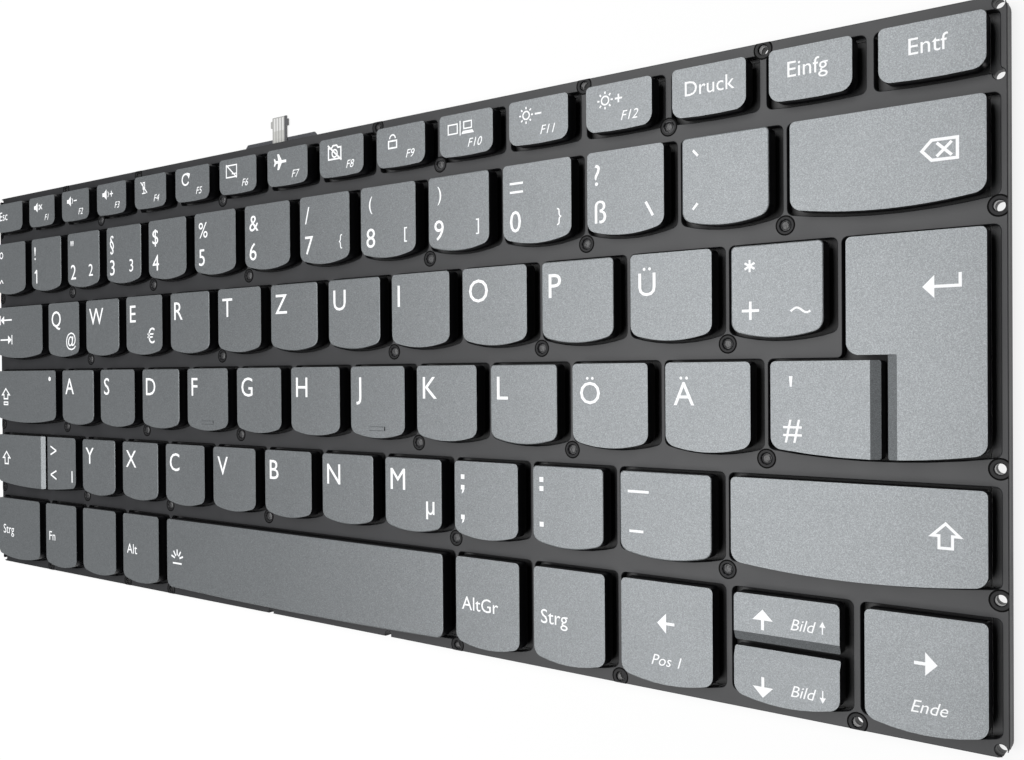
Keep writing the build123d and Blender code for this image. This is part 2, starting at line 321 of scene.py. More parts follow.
flex_low, flex_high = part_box("backlight_flex")
flex_middle = (flex_low.x + flex_high.x) / 2
cover_end = flex_low.y + (flex_high.y - flex_low.y) * cover_share
form = cad_form("backlight_flex")
round_edges(form, upright_corners(form, flex_corner * mm, square_turn), flex_corner_round * mm, 2)
RIBBON, COVERED, BARE, STRIP = range(4)
lead_top = flex_high.z + lead_rise * mm
lead_end = flex_high.y - bare_lead_inset * mm
for number in range(lead_count):
    left = flex_middle + (number - leads_shift) * lead_pitch * mm
    right = left + lead_width * mm
    block(form, (left, flex_low.y, flex_high.z), (right, cover_end, lead_top), COVERED)
    block(form, (left, cover_end, flex_high.z), (right, lead_end, lead_top), BARE)
# A near-black strip runs down the ribbon's right edge and over its right ear.
edge = flex_middle + strip_set * mm
block(form, (edge - strip_width * mm, flex_low.y, flex_high.z), (edge, flex_high.y, lead_top), STRIP)
ear_front, ear_rear = flex_high.y - ear_front_set * mm, flex_high.y - ear_rear_set * mm
block(form, (edge, ear_front, flex_high.z), (flex_high.x, ear_rear, lead_top), STRIP)
ribbon_films = [
    film("flex_ribbon", (0.30, 0.30, 0.29), (0.38, 0.38, 0.37), 0.4),
    film("covered_leads", (0.42, 0.42, 0.40), (0.50, 0.50, 0.48), 0.4),
    film("bare_leads", (0.56, 0.56, 0.55), (0.66, 0.66, 0.65), 0.35),
    film("edge_strip", (0.05, 0.05, 0.055), (0.09, 0.09, 0.095), 0.4),
]
piece("flex_ribbon", form, "chassis", ribbon_films, "flex", "backlight_flex")

# The base plate and the switch membrane: a pressed steel sheet, painted black, and a stack of printed
# films glued on it. Only narrow strips of the membrane show, deep in the gaps between the caps.
dress("base_plate", film("plate_paint", (0.03, 0.03, 0.032), (0.05, 0.05, 0.053), 0.45))
dress("membrane", film("membrane_film", (0.006, 0.006, 0.007), (0.012, 0.012, 0.013), 0.5))

# The rubber domes: one moulded silicone bell under each moving cap, glued to the membrane by its flange.
# A bell folds under its cap; each is a piece of its own.
bell_profile = [
    (1.0, 0.0), (1.0, 0.06), (0.86, 0.09), (0.62, 0.66), (0.5, 0.78), (0.46, 1.0), (0.2, 1.0), (0.0, 0.94),
]
bell_steps = 20
moving_keys = sorted(
    node.removeprefix("key_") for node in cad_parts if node.startswith("key_") and node != "key_frame"
)


def only_inside(form, low, high):
    """Deletes what lies outside a key's box, seen from above."""
    outside = [
        vertex for vertex in form.verts
        if not (low.x < vertex.co.x < high.x and low.y < vertex.co.y < high.y)
    ]
    bmesh.ops.delete(form, geom=outside, context="VERTS")


def turned(form, centre, profile, steps):
    """A full turn of a profile of radii and heights about an upright axis."""
    points = [form.verts.new(centre + Vector((radius, 0, height))) for radius, height in profile]
    edges = [form.edges.new(pair) for pair in zip(points, points[1:])]
    bmesh.ops.spin(
        form, geom=points + edges, cent=centre, axis=(0, 0, 1), angle=2 * math.pi, steps=steps,
        use_merge=True,
    )
    bmesh.ops.remove_doubles(form, verts=form.verts, dist=weld)
    bmesh.ops.recalc_face_normals(form, faces=form.faces)


def silicone():
    material, shader, tree, place = finish("dome_silicone", (0.7, 0.7, 0.68), 0.5)
    cloud = grain(tree, place, 0.8)
    colour = shade_between(tree, cloud, (0.62, 0.62, 0.60), (0.76, 0.76, 0.74))
    feed(tree, shader, Base_Color=colour, Roughness=0.42 + 0.2 * cloud)
    return material


bell_skin = silicone()
for name in moving_keys:
    solid = cad_form("rubber_domes")
    only_inside(solid, *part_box("key_" + name))
    points = [vertex.co for vertex in solid.verts]
    low = Vector([min(point[i] for point in points) for i in range(3)])
    high = Vector([max(point[i] for point in points) for i in range(3)])
    solid.free()
    foot = Vector(((low.x + high.x) / 2, (low.y + high.y) / 2, low.z))
    radius, height = (high.x - low.x) / 2, high.z - low.z
    form = bmesh.new()
    turned(form, foot, [(r * radius, z * height) for r, z in bell_profile], bell_steps)
    bell = piece("dome_" + name, form, "chassis", [bell_skin], "rubber", "rubber_domes")
    "press_" + name
    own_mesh(bell)

# The scissor links: a pair of pale moulded frames under each moving cap, the narrow one crossing inside the
# wide one. They snap into the cap and slide on the plate, and fold flat with their own key.
link_round = 0.15


def link_plastic():
    material, shader, tree, place = finish("link_plastic", (0.75, 0.75, 0.73), 0.4)
    fine = grain(tree, place, 2.5)
    colour = shade_between(tree, fine, (0.68, 0.68, 0.66), (0.8, 0.8, 0.78))
    feed(tree, shader, Base_Color=colour, Roughness=0.34 + 0.14 * fine)
    return material


link_skin = link_plastic()
for name in moving_keys:
    form = cad_form("scissor_links")
    only_inside(form, *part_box("key_" + name))
    round_edges(form, list(form.edges), link_round * mm, 1)
    links = piece("links_" + name, form, "chassis", [link_skin], "links", "scissor_links")
    "press_" + name
    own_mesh(links)

# The lattice frame: one black injection moulding of glass-filled plastic, with a satin skin. Its openings
# have round corners and softly broken edges, and its rim goes down round the layers.
corner_turn, corner_round, corner_steps = 55, 0.9, 4
edge_round = 0.12
hole_area, hole_growth = 3.0, 1.2
edge_reach = 1.5
frame_low, frame_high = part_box("key_frame")
lattice_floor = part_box("membrane")[1].z


def curve_mesh(curve):
    """The mesh of a flat curve or of text, at its own size."""
    holder = bpy.data.objects.new(curve.name, curve)
    scene.collection.objects.link(holder)
    depsgraph = bpy.context.evaluated_depsgraph_get()
    mesh = bpy.data.meshes.new_from_object(holder.evaluated_get(depsgraph), depsgraph=depsgraph)
    bpy.data.objects.remove(holder)
    bpy.data.curves.remove(curve)
    return mesh


def lattice_outlines():
    """The closed outlines of the lattice's upper face, in millimetres: its border and every opening."""
    form = cad_form("key_frame")
    upper = {
        face for face in form.faces
        if face.normal.z > 0.9 and abs(face.verts[0].co.z - frame_high.z) < weld
    }
    others = [edge for edge in form.edges if sum(face in upper for face in edge.link_faces) != 1]
    bmesh.ops.delete(form, geom=list(form.faces), context="FACES_ONLY")
    bmesh.ops.delete(form, geom=others, context="EDGES")
    loose = [vertex for vertex in form.verts if not vertex.link_edges]
    bmesh.ops.delete(form, geom=loose, context="VERTS")
    bmesh.ops.scale(form, verts=form.verts, vec=(1 / mm, 1 / mm, 0))
    bmesh.ops.edgeloop_fill(form, edges=form.edges)
    border = max(form.faces, key=lambda face: face.calc_area())
    corners = [
        loop.vert for face in form.faces if face != border for loop in face.loops
        if abs(math.pi - loop.calc_angle()) > math.radians(corner_turn)
    ]
    bmesh.ops.bevel(
        form, geom=corners, offset=corner_round, segments=corner_steps, profile=0.5, affect="VERTICES",
        material=-1,
    )
    return form


def lattice_plate(outlines):
    """The flat upper part, from its outlines, with all its edges broken."""
    curve = bpy.data.curves.new("lattice", "CURVE")
    curve.dimensions = "2D"
    curve.fill_mode = "BOTH"
    curve.extrude = (frame_high.z - lattice_floor) / mm / 2 - edge_round
    curve.bevel_depth = edge_round
    curve.bevel_resolution = 1
    curve.offset = -edge_round
    for face in outlines.faces:
        spline = curve.splines.new("POLY")
        spline.points.add(len(face.verts) - 1)
        spline.use_cyclic_u = True
        for point, vertex in zip(spline.points, face.verts):
            point.co = (*vertex.co.xy, 0, 1)
    mesh = curve_mesh(curve)
    middle = (0, 0, (frame_high.z + lattice_floor) / 2)
    mesh.transform(Matrix.Translation(middle) @ Matrix.Scale(mm, 4))
    return mesh


def frame_rim():
    """The part of the moulding under the lattice, closed where it was cut off."""
    form = cad_form("key_frame")
    everything = form.verts[:] + form.edges[:] + form.faces[:]
    level = (0, 0, lattice_floor)
    bmesh.ops.bisect_plane(
        form, geom=everything, dist=weld, plane_co=level, plane_no=(0, 0, 1), clear_outer=True,
    )
    flat = [
        face for face in form.faces
        if all(abs(vertex.co.z - lattice_floor) < weld for vertex in face.verts)
    ]
    bmesh.ops.delete(form, geom=flat, context="FACES")
    rims = [edge for edge in form.edges if len(edge.link_faces) == 1]
    bmesh.ops.triangle_fill(form, edges=rims, use_beauty=True, use_dissolve=True)
    bmesh.ops.recalc_face_normals(form, faces=form.faces)
    return form


def frame_black():
    material, shader, tree, place = finish("frame_black", (0.013, 0.0135, 0.015), 0.46)
    fine = grain(tree, place, 6.0)
    broad = grain(tree, place, 0.12)
    colour = shade_between(tree, broad, (0.010, 0.0105, 0.012), (0.017, 0.0175, 0.020))
    feed(tree, shader, Base_Color=colour, Roughness=0.38 + 0.1 * broad + 0.12 * fine)
    feed(tree, shader, Normal=bumped(tree, fine, 0.006 * mm))
    return material


def is_inner(hole):
    """Whether a stake hole stands between the rows, and not at an edge of the frame."""
    return min(frame_high.x - abs(hole.x), frame_high.y - abs(hole.y)) > edge_reach * mm


lattice_skin = frame_black()
outlines = lattice_outlines()
stake_holes = []
for face in outlines.faces:
    if face.calc_area() < hole_area:
        middle = face.calc_center_median()
        stake_holes.append(middle * mm)
        if is_inner(middle * mm):
            to_middle = Matrix.Translation(-middle)
            bmesh.ops.scale(outlines, verts=face.verts, vec=(hole_growth, hole_growth, 1), space=to_middle)
plate = lattice_plate(outlines)
outlines.free()
form = frame_rim()
form.from_mesh(plate)
bpy.data.meshes.remove(plate)
piece("lattice_frame", form, "chassis", [lattice_skin], "frame", "key_frame")

# The stakes: moulded eyelets of the frame, each set off by a fine groove, which is drawn as a flat ring
# just above the frame's top, painted near black as painted shade. The inner ones hold the melted plastic
# head of a post from the plate. Those at the edges are open, with a steel lining, for the posts of the host.
# The holes in the function row's gap run into the openings, so their places are given here.
shade_ring_outer, shade_ring_inner, shade_ring_lift = 1.66, 1.40, 0.006
eyelet_rise, eyelet_wall, eyelet_depth = 0.03, 0.5, 1.3
bore, mouth_depth = 0.8, 0.3
edge_mouth, seat_mouth = 0.95, 1.08
head_profile = [(0.78, -1.2), (0.92, -0.35), (0.84, -0.2), (0.55, -0.08), (0, -0.03)]
head_steps = 20
eyelet_steps = 28
function_seats, function_seat_line = (-86.75, -34.7, 34.7, 86.75), 43.75
stake_holes += [Vector((x, function_seat_line, 0)) * mm for x in function_seats]
EYELET, PAINTED_GROOVE_SHADE, HEAD, LINING = range(4)


def eyelet(centre, mouth):
    """One eyelet as a closed turned form, with a flat outer ring for the painted shade of its groove, cut off
    at the frame's sides.
    """
    form = bmesh.new()
    profile = [
        (shade_ring_outer, -eyelet_wall), (shade_ring_outer, shade_ring_lift), (shade_ring_inner, shade_ring_lift),
        (shade_ring_inner, eyelet_rise), (mouth, eyelet_rise), (bore, -mouth_depth), (bore, -eyelet_depth),
        (shade_ring_outer, -eyelet_wall),
    ]
    turned(form, centre, [(radius * mm, height * mm) for radius, height in profile], eyelet_steps)
    for face in form.faces:
        away = (face.calc_center_median().xy - centre.xy).length / mm
        if face.normal.z > 0.5:
            # The flat outer ring gets the near-black painted shade of the groove.
            face.material_index = PAINTED_GROOVE_SHADE if away > shade_ring_inner else EYELET
        elif away < bore + weld / mm and mouth == edge_mouth:
            face.material_index = LINING
    for axis in (Vector((1, 0, 0)), Vector((0, 1, 0))):
        for side, limit in ((-1, frame_low), (1, frame_high)):
            whole = form.verts[:] + form.edges[:] + form.faces[:]
            cut = bmesh.ops.bisect_plane(
                form, geom=whole, dist=weld, plane_co=limit, plane_no=axis * side, clear_outer=True,
            )["geom_cut"]
            edges = [part for part in cut if isinstance(part, bmesh.types.BMEdge)]
            bmesh.ops.triangle_fill(form, edges=edges, use_beauty=True, use_dissolve=True)
    return form


def groove_shade():
    """Painted shade: near black and nearly without gloss, for the shade at the bottom of a fine groove, on a
    flat ring.
    """
    dull = {"Specular_IOR_Level": 0.02}
    material, shader, tree, place = finish("groove_shade", (0.004, 0.004, 0.004), 0.6, **dull)
    fine = grain(tree, place, 6.0)
    colour = shade_between(tree, fine, (0.003, 0.003, 0.003), (0.006, 0.006, 0.006))
    feed(tree, shader, Base_Color=colour, Roughness=0.5 + 0.2 * fine)
    return material


def stake_plastic():
    """Black plastic with the uneven gloss of a melted head."""
    material, shader, tree, place = finish("stake_plastic", (0.03, 0.03, 0.032), 0.34)
    melt = grain(tree, place, 2.2)
    colour = shade_between(tree, melt, (0.015, 0.015, 0.016), (0.05, 0.05, 0.052))
    feed(tree, shader, Base_Color=colour, Roughness=0.2 + 0.3 * melt)
    feed(tree, shader, Normal=bumped(tree, melt, 0.12 * mm))
    return material


def lining_steel():
    material, shader, tree, place = finish("lining_steel", (0.5, 0.5, 0.5), 0.45, Metallic=1.0)
    fine = grain(tree, place, 8.0)
    colour = shade_between(tree, fine, (0.42, 0.42, 0.42), (0.56, 0.56, 0.56))
    feed(tree, shader, Base_Color=colour, Roughness=0.34 + 0.2 * fine)
    return material


def eyelet_black():
    """The moulding's skin, a little duller where the eyelet is."""
    dull = {"Specular_IOR_Level": 0.22}
    material, shader, tree, place = finish("eyelet_black", (0.008, 0.008, 0.009), 0.5, **dull)
    fine = grain(tree, place, 6.0)
    colour = shade_between(tree, fine, (0.006, 0.006, 0.007), (0.011, 0.011, 0.012))
    feed(tree, shader, Base_Color=colour, Roughness=0.42 + 0.16 * fine)
    return material


def add_form(form, other):
    """Adds one form to another, with its materials, and frees it."""
    copy = bpy.data.meshes.new("copy")
    other.to_mesh(copy)
    other.free()
    form.from_mesh(copy)
    bpy.data.meshes.remove(copy)


eyelets = bmesh.new()
for hole in stake_holes:
    centre = Vector((hole.x, hole.y, frame_high.z))
    inner = is_inner(hole)
    one = eyelet(centre, seat_mouth if inner else edge_mouth)
    if inner:
        head = bmesh.new()
        turned(head, centre, [(radius * mm, height * mm) for radius, height in head_profile], head_steps)
        for face in head.faces:
            face.material_index = HEAD
        add_form(one, head)
    add_form(eyelets, one)
stake_skins = [eyelet_black(), groove_shade(), stake_plastic(), lining_steel()]
piece("stake_eyelets", eyelets, "chassis", stake_skins, "frame")

# The caps: clear plastic shells moulded black at the sides and sprayed a matt grey on top, with the
# signs cut through the paint as white. Each clips on its scissor links from above.
rim_turn, rim_round, rim_steps = 20, 0.22, 3
cap_corner, cap_corner_turn, cap_corner_round = 1.5, 30, 0.3
upward, painted_slope = 0.5, 0.35


def cap_paint():
    material, shader, tree, place = finish("cap_paint", (0.17, 0.176, 0.183), 0.4, Metallic=0.42)
    fleck = grain(tree, place, 6.5, 3.0)
    broad = grain(tree, place, 0.08)
    stops = [(0.30, (0.113, 0.121, 0.127)), (0.5, (0.164, 0.175, 0.182)), (0.72, (0.260, 0.275, 0.285))]
    colour = tree.node("ShaderNodeValToRGB", {"stops": stops}, {"Fac": fleck})
    feed(tree, shader, Base_Color=colour, Roughness=0.32 + 0.06 * broad + 0.08 * fleck)
    feed(tree, shader, Normal=bumped(tree, fleck, 0.012 * mm))
    return material


def cap_side():
    material, shader, tree, place = finish("cap_side", (0.006, 0.006, 0.007), 0.3)
    fine = grain(tree, place, 3.0)
    colour = shade_between(tree, fine, (0.004, 0.004, 0.005), (0.010, 0.010, 0.012))
    feed(tree, shader, Base_Color=colour, Roughness=0.24 + 0.16 * fine)
    return material


def sign_white():
    material, shader, tree, place = finish("sign_white", (0.88, 0.89, 0.9), 0.45)
    fine = grain(tree, place, 5.0)
    colour = shade_between(tree, fine, (0.84, 0.85, 0.86), (0.93, 0.94, 0.95))
    feed(tree, shader, Base_Color=colour, Roughness=0.4 + 0.15 * fine)
    return material


cap_skins = [cap_paint(), cap_side(), sign_white()]
PAINT, SIDE, SIGN = range(3)
sign_lift, sign_step = 0.012, 0.0006
hair, fine_line, thin, stroke, broad_line, bold = 0.28, 0.3, 0.36, 0.42, 0.45, 0.5


def pointing(degrees):
    return Vector((math.cos(math.radians(degrees)), math.sin(math.radians(degrees))))


class Print:
    """Signs on one cap, drawn in millimetres from its left rear corner, with y towards the front."""

    def __init__(self, form, left, rear, top):
        self.form = form
        self.corner = Vector((left, rear, top + sign_lift * mm))

    def place(self, x, y):
        return self.corner + Vector((x, -y, 0)) * mm

    def patch(self, *points):
        self.corner.z += sign_step * mm
        face = self.form.faces.new([self.form.verts.new(self.place(*point)) for point in points])
        face.normal_update()
        if face.normal.z < 0:
            face.normal_flip()
        face.material_index = SIGN
        return face

    def outline(self, width, *points):
        """A closed line of even width inside these points."""
        face = self.patch(*points)
        bmesh.ops.inset_individual(self.form, faces=[face], thickness=width * mm, use_even_offset=True)
        bmesh.ops.delete(self.form, geom=[face], context="FACES")

    def bar(self, start, end, width):
        start, end = Vector(start), Vector(end)
        side = (end - start).orthogonal().normalized() * width / 2
        self.patch(start + side, end + side, end - side, start - side)

    def bars(self, width, *points):
        for start, end in zip(points, points[1:]):
            self.bar(start, end, width)

    def ring(self, centre, radius, width, turns=1.0, start=0.0, steps=20):
        """A ring or an open arc of even width."""
        count = round(steps * turns)
        ways = [pointing(360 * (start + turns * step / count)) for step in range(count + 1)]
        centre = Vector(centre)
        inner, outer = radius - width / 2, radius + width / 2
        for first, second in zip(ways, ways[1:]):
            corners = ((first, inner), (first, outer), (second, outer), (second, inner))
            self.patch(*[centre + way * reach for way, reach in corners])

    def disc(self, centre, radius, steps=16):
        ways = [pointing(360 * step / steps) for step in range(steps)]
        self.patch(*[Vector(centre) + radius * way for way in ways])

    def text(self, words, left, base, height, slant=0.0):
        """A word or a sign from its left end, standing on a base line, with this height of a capital."""
        mesh = letters(words, slant)
        scale = height * mm / capital_height
        start = min((vertex.co.x for vertex in mesh.vertices), default=0.0)
        mesh.transform(Matrix.Translation((-start, 0, 0)))
        mesh.transform(Matrix.Translation(self.place(left, base)) @ Matrix.Scale(scale, 4))
        old = set(self.form.faces)
        self.form.from_mesh(mesh)
        for face in self.form.faces:
            if face not in old:
                face.material_index = SIGN
        bpy.data.meshes.remove(mesh)


def letters(words, slant=0.0):
    """A flat mesh of a word in the plain built-in type, at its own size."""
    curve = bpy.data.curves.new("letters", "FONT")
    curve.body = words
    curve.shear = slant
    curve.resolution_u = 3
    curve.fill_mode = "BOTH"
    return curve_mesh(curve)


measure = letters("H")
capital_height = max(vertex.co.y for vertex in measure.vertices)
bpy.data.meshes.remove(measure)


def soften_cap(form):
    """Breaks the upper edges of caps and tells the painted faces from the bare sides."""
    corners = upright_corners(form, cap_corner * mm, cap_corner_turn)
    round_edges(form, corners, cap_corner_round * mm, 2)
    rims = []
    for edge in form.edges:
        faces = edge.link_faces
        if len(faces) == 2 and max(face.normal.z for face in faces) > upward:
            if edge.calc_face_angle(0) > math.radians(rim_turn):
                rims.append(edge)
    round_edges(form, rims, rim_round * mm, rim_steps)
    for face in form.faces:
        face.normal_update()
        face.material_index = PAINT if face.normal.z > painted_slope else SIDE


# The signs of the typing keys: one at the upper left of a letter key, an upper and a lower one on the others,
# and on some more of them, each with its own left end, base line and height.
letter_left, letter_base, letter_height = 1.6, 6.7, 4.4
umlaut_base, umlaut_height = 7.3, 3.95
upper_base, upper_height = 6.0, 3.7
lower_base, lower_height = 12.8, 4.0
dot_side = 0.9
letter_keys = set("qwertzuiopasdfghjklyxcvbnm")
umlauts = {"u_umlaut": "Ü", "o_umlaut": "Ö", "a_umlaut": "Ä"}
upper_signs = {"1": "!", "2": '"', "3": "§", "4": "$", "5": "%", "6": "&", "7": "/", "sharp_s": "?"}
lower_signs = {figure: figure for figure in "234567890"} | {"sharp_s": "ß"}
more_signs = {
    "2": [("2", 10.4, 12.3, 3.2)], "3": [("3", 10.4, 12.3, 3.2)], "7": [("{", 12.3, 11.6, 2.3)],
    "8": [("[", 12.4, 11.6, 2.3), ("(", 2.4, 4.8, 2.75)],
    "9": [("]", 12.3, 11.6, 2.3), (")", 2.5, 4.8, 2.75)],
    "0": [("}", 12.4, 11.6, 2.3)], "q": [("@", 9.0, 12.3, 3.6)], "e": [("€", 9.2, 12.3, 3.7)],
    "m": [("µ", 11.4, 11.3, 4.0)],
}


def print_dot(sheet, line):
    """A square dot at the left, about a line."""
    left, right = letter_left, letter_left + dot_side
    rear, front = line - dot_side / 2, line + dot_side / 2
    sheet.patch((left, rear), (right, rear), (right, front), (left, front))


def print_typing_key(name, sheet):
    """The signs of a one-unit typing key."""
    if name in umlauts:
        sheet.text(umlauts[name], letter_left, umlaut_base, umlaut_height)
    if name in letter_keys:
        sheet.text(name.upper(), letter_left, letter_base, letter_height)
    if name in upper_signs:
        sheet.text(upper_signs[name], letter_left, upper_base, upper_height)
    if name in lower_signs:
        sheet.text(lower_signs[name], letter_left, lower_base, lower_height)
    for sign in more_signs.get(name, []):
        sheet.text(*sign)
    if name == "1":
        sheet.bars(bold, (1.7, 9.9), (2.75, 9.0), (2.75, 12.8))
    if name == "0":
        sheet.bar((1.6, 3.55), (4.7, 3.55), stroke)
        sheet.bar((1.6, 5.2), (4.7, 5.2), stroke)
    if name == "sharp_s":
        sheet.bar((12.0, 9.9), (13.4, 12.4), 0.48)
    if name == "period":
        for line in (2.6, 4.3, 11.0):
            print_dot(sheet, line)
    if name == "comma":
        for line in (3.1, 5.2, 11.1):
            print_dot(sheet, line)
        for line in (5.2, 11.1):
            sheet.patch((2.0, line + 0.4), (2.4, line + 0.4), (2.3, line + 0.9), (1.75, line + 1.3))
    if name == "acute":
        sheet.bar((2.1, 2.2), (3.0, 3.2), stroke)
        sheet.bar((2.0, 12.2), (2.9, 11.2), stroke)
    if name == "plus":
        centre = Vector((3.3, 3.4))
        for degrees in (30, 90, 150):
            way = pointing(degrees)
            sheet.bar(centre - way, centre + way, thin)
        sheet.bar((1.9, 10.7), (4.9, 10.7), broad_line)
        sheet.bar((3.4, 9.2), (3.4, 12.2), broad_line)
        wave = [(10.2 + 0.36 * step, 10.9 - 0.42 * math.sin(0.7 * step - 0.4)) for step in range(10)]
        sheet.bars(0.34, *wave)
    if name == "minus":
        sheet.bar((1.6, 3.6), (5.8, 3.6), broad_line)
        sheet.bar((1.9, 10.6), (4.7, 10.6), broad_line)


def shift_arrow(sheet, left, top):
    """An open upward arrow."""
    points = [(2.45, 0), (4.9, 2.3), (3.6, 2.3), (3.6, 4.1), (1.3, 4.1), (1.3, 2.3), (0, 2.3)]
    sheet.outline(stroke, *[(left + x, top + y) for x, y in points])


def print_wide_key(name, sheet, width):
    """The signs of the wide keys, some measured from the cap's right edge."""
    if name == "backspace":
        left, top = width - 9.2, 5.6
        points = [(0, 1.7), (1.6, 0), (5.5, 0), (5.5, 3.4), (1.6, 3.4)]
        sheet.outline(0.46, *[(left + x, top + y) for x, y in points])
        sheet.bar((left + 2.4, top + 0.7), (left + 4.5, top + 2.7), 0.44)
        sheet.bar((left + 2.4, top + 2.7), (left + 4.5, top + 0.7), 0.44)
    if name == "enter":
        right, line = width - 3.4, 8.3
        sheet.patch((right - 5.5, line), (right - 3.8, line - 1.7), (right - 3.8, line + 1.7))
        sheet.bar((right - 3.8, line), (right, line), broad_line)
        sheet.bar((right - 0.22, line), (right - 0.22, line - 1.9), broad_line)
    if name == "right_shift":
        shift_arrow(sheet, width - 8.2, 4.8)
    if name == "left_shift":
        shift_arrow(sheet, 2.4, 4.8)
    if name == "caps_lock":
        points = [(2.6, 0), (5.2, 2.3), (3.9, 2.3), (3.9, 3.5), (1.3, 3.5), (1.3, 2.3), (0, 2.3)]
        sheet.outline(stroke, *[(2.2 + x, 5.0 + y) for x, y in points])
        sheet.outline(thin, (3.5, 9.1), (6.1, 9.1), (6.1, 10.2), (3.5, 10.2))
        sheet.disc((width - 3.1, 2.4), 0.62)
    if name == "tab":
        left, right, upper, lower = 2.0, 8.6, 3.8, 9.7
        sheet.bar((left, upper - 1.4), (left, upper + 1.4), stroke)
        sheet.patch((left + 0.3, upper), (left + 2.2, upper - 1.3), (left + 2.2, upper + 1.3))
        sheet.bar((left + 2.2, upper), (right, upper), stroke)
        sheet.bar((right, lower - 1.4), (right, lower + 1.4), stroke)
        sheet.patch((right - 0.3, lower), (right - 2.2, lower + 1.3), (right - 2.2, lower - 1.3))
        sheet.bar((left, lower), (right - 2.2, lower), stroke)
    if name == "space":
        centre = Vector((4.3, 10.0))
        sheet.bar((2.5, 11.0), (6.1, 11.0), 0.4)
        for degrees in (200, 235, 270, 305, 340):
            way = pointing(degrees)
            sheet.bar(centre + way * 1.0, centre + way * 2.5, stroke)


# The homing bars: a low bar near the front edge of two caps, moulded with the shell and painted with it.
# Its upper edges are round, so that a finger feels it without a scratch.
homing_keys = ("f", "j")
homing_length, homing_depth, homing_rise = 4.4, 0.85, 0.28
homing_set, homing_round = 13.2, 0.12


def add_homing_bar(form, left, rear, top, width):
    made = bmesh.ops.create_cube(form, size=1.0)["verts"]
    bmesh.ops.scale(form, verts=made, vec=(homing_length * mm, homing_depth * mm, 2 * homing_rise * mm))
    middle = (left + width * mm / 2, rear - homing_set * mm, top)
    bmesh.ops.translate(form, verts=made, vec=middle)
    edges = list({edge for vertex in made for edge in vertex.link_edges})
    upper = [edge for edge in edges if all(vertex.co.z > top for vertex in edge.verts)]
    round_edges(form, upper, homing_round * mm, 2)


for name in moving_keys:
    low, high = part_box("key_" + name)
    width = (high.x - low.x) / mm
    form = cad_form("key_" + name)
    soften_cap(form)
    if name in homing_keys:
        add_homing_bar(form, low.x, high.y, high.z, width)
    sheet = Print(form, low.x, high.y, high.z)
    print_typing_key(name, sheet)
    print_wide_key(name, sheet, width)
    piece("cap_" + name, form, "key_" + name, cap_skins, "caps", "key_" + name)

# The caps of the function row, the modifiers and the arrows: the same painted shells, here without
# a joint of their own, each on the post under it.
fixed_names = ["escape"] + ["f%d" % number for number in range(1, 13)] + ["print", "insert", "delete"]
fixed_names += ["circumflex", "hash", "less_than", "left_control", "fn", "system", "alt", "alt_graph"]
fixed_names += ["right_control", "left_arrow", "up_arrow", "right_arrow", "down_arrow"]
small_words = {
    "escape": ("Esc", 2.3, 4.9, 2.5), "print": ("Druck", 2.4, 4.8, 2.45),
    "insert": ("Einfg", 3.1, 4.7, 2.45), "delete": ("Entf", 4.4, 4.7, 2.45),
    "left_control": ("Strg", 2.7, 10.5, 2.6), "fn": ("Fn", 1.7, 10.4, 2.5), "alt": ("Alt", 1.7, 10.4, 2.5),
    "alt_graph": ("AltGr", 1.5, 10.4, 2.6), "right_control": ("Strg", 1.6, 10.5, 2.6),
}
slanted_words = {
    "left_arrow": ("Pos 1", 6.0, 14.5, 1.85), "right_arrow": ("Ende", 6.8, 14.5, 1.85),
    "up_arrow": ("Bild", 9.7, 5.0, 1.8), "down_arrow": ("Bild", 9.7, 5.3, 1.8),
}
word_slant = 0.3
arrows = {
    "left_arrow": ((8.9, 7.1), (-1, 0)), "right_arrow": ((8.9, 7.1), (1, 0)),
    "up_arrow": ((5.0, 4.1), (0, -1)), "down_arrow": ((5.0, 4.6), (0, 1)),
}
number_base, number_height = 6.9, 1.65
sign_line = 2.9


def print_speaker(sheet, left, line):
    """A loudspeaker seen from the side."""
    points = [(0, -0.5), (0.8, -0.5), (1.9, -1.4), (1.9, 1.4), (0.8, 0.5), (0, 0.5)]
    sheet.patch(*[(left + x, line + y) for x, y in points])
    sheet.ring((left + 1.9, line), 0.9, 0.24, turns=0.3, start=-0.15)


def print_sun(sheet, left, line):
    """A ring with eight rays."""
    centre = Vector((left, line))
    sheet.ring(centre, 0.75, hair)
    for degrees in range(0, 360, 45):
        way = pointing(degrees)
        sheet.bar(centre + way * 1.15, centre + way * 1.6, fine_line)


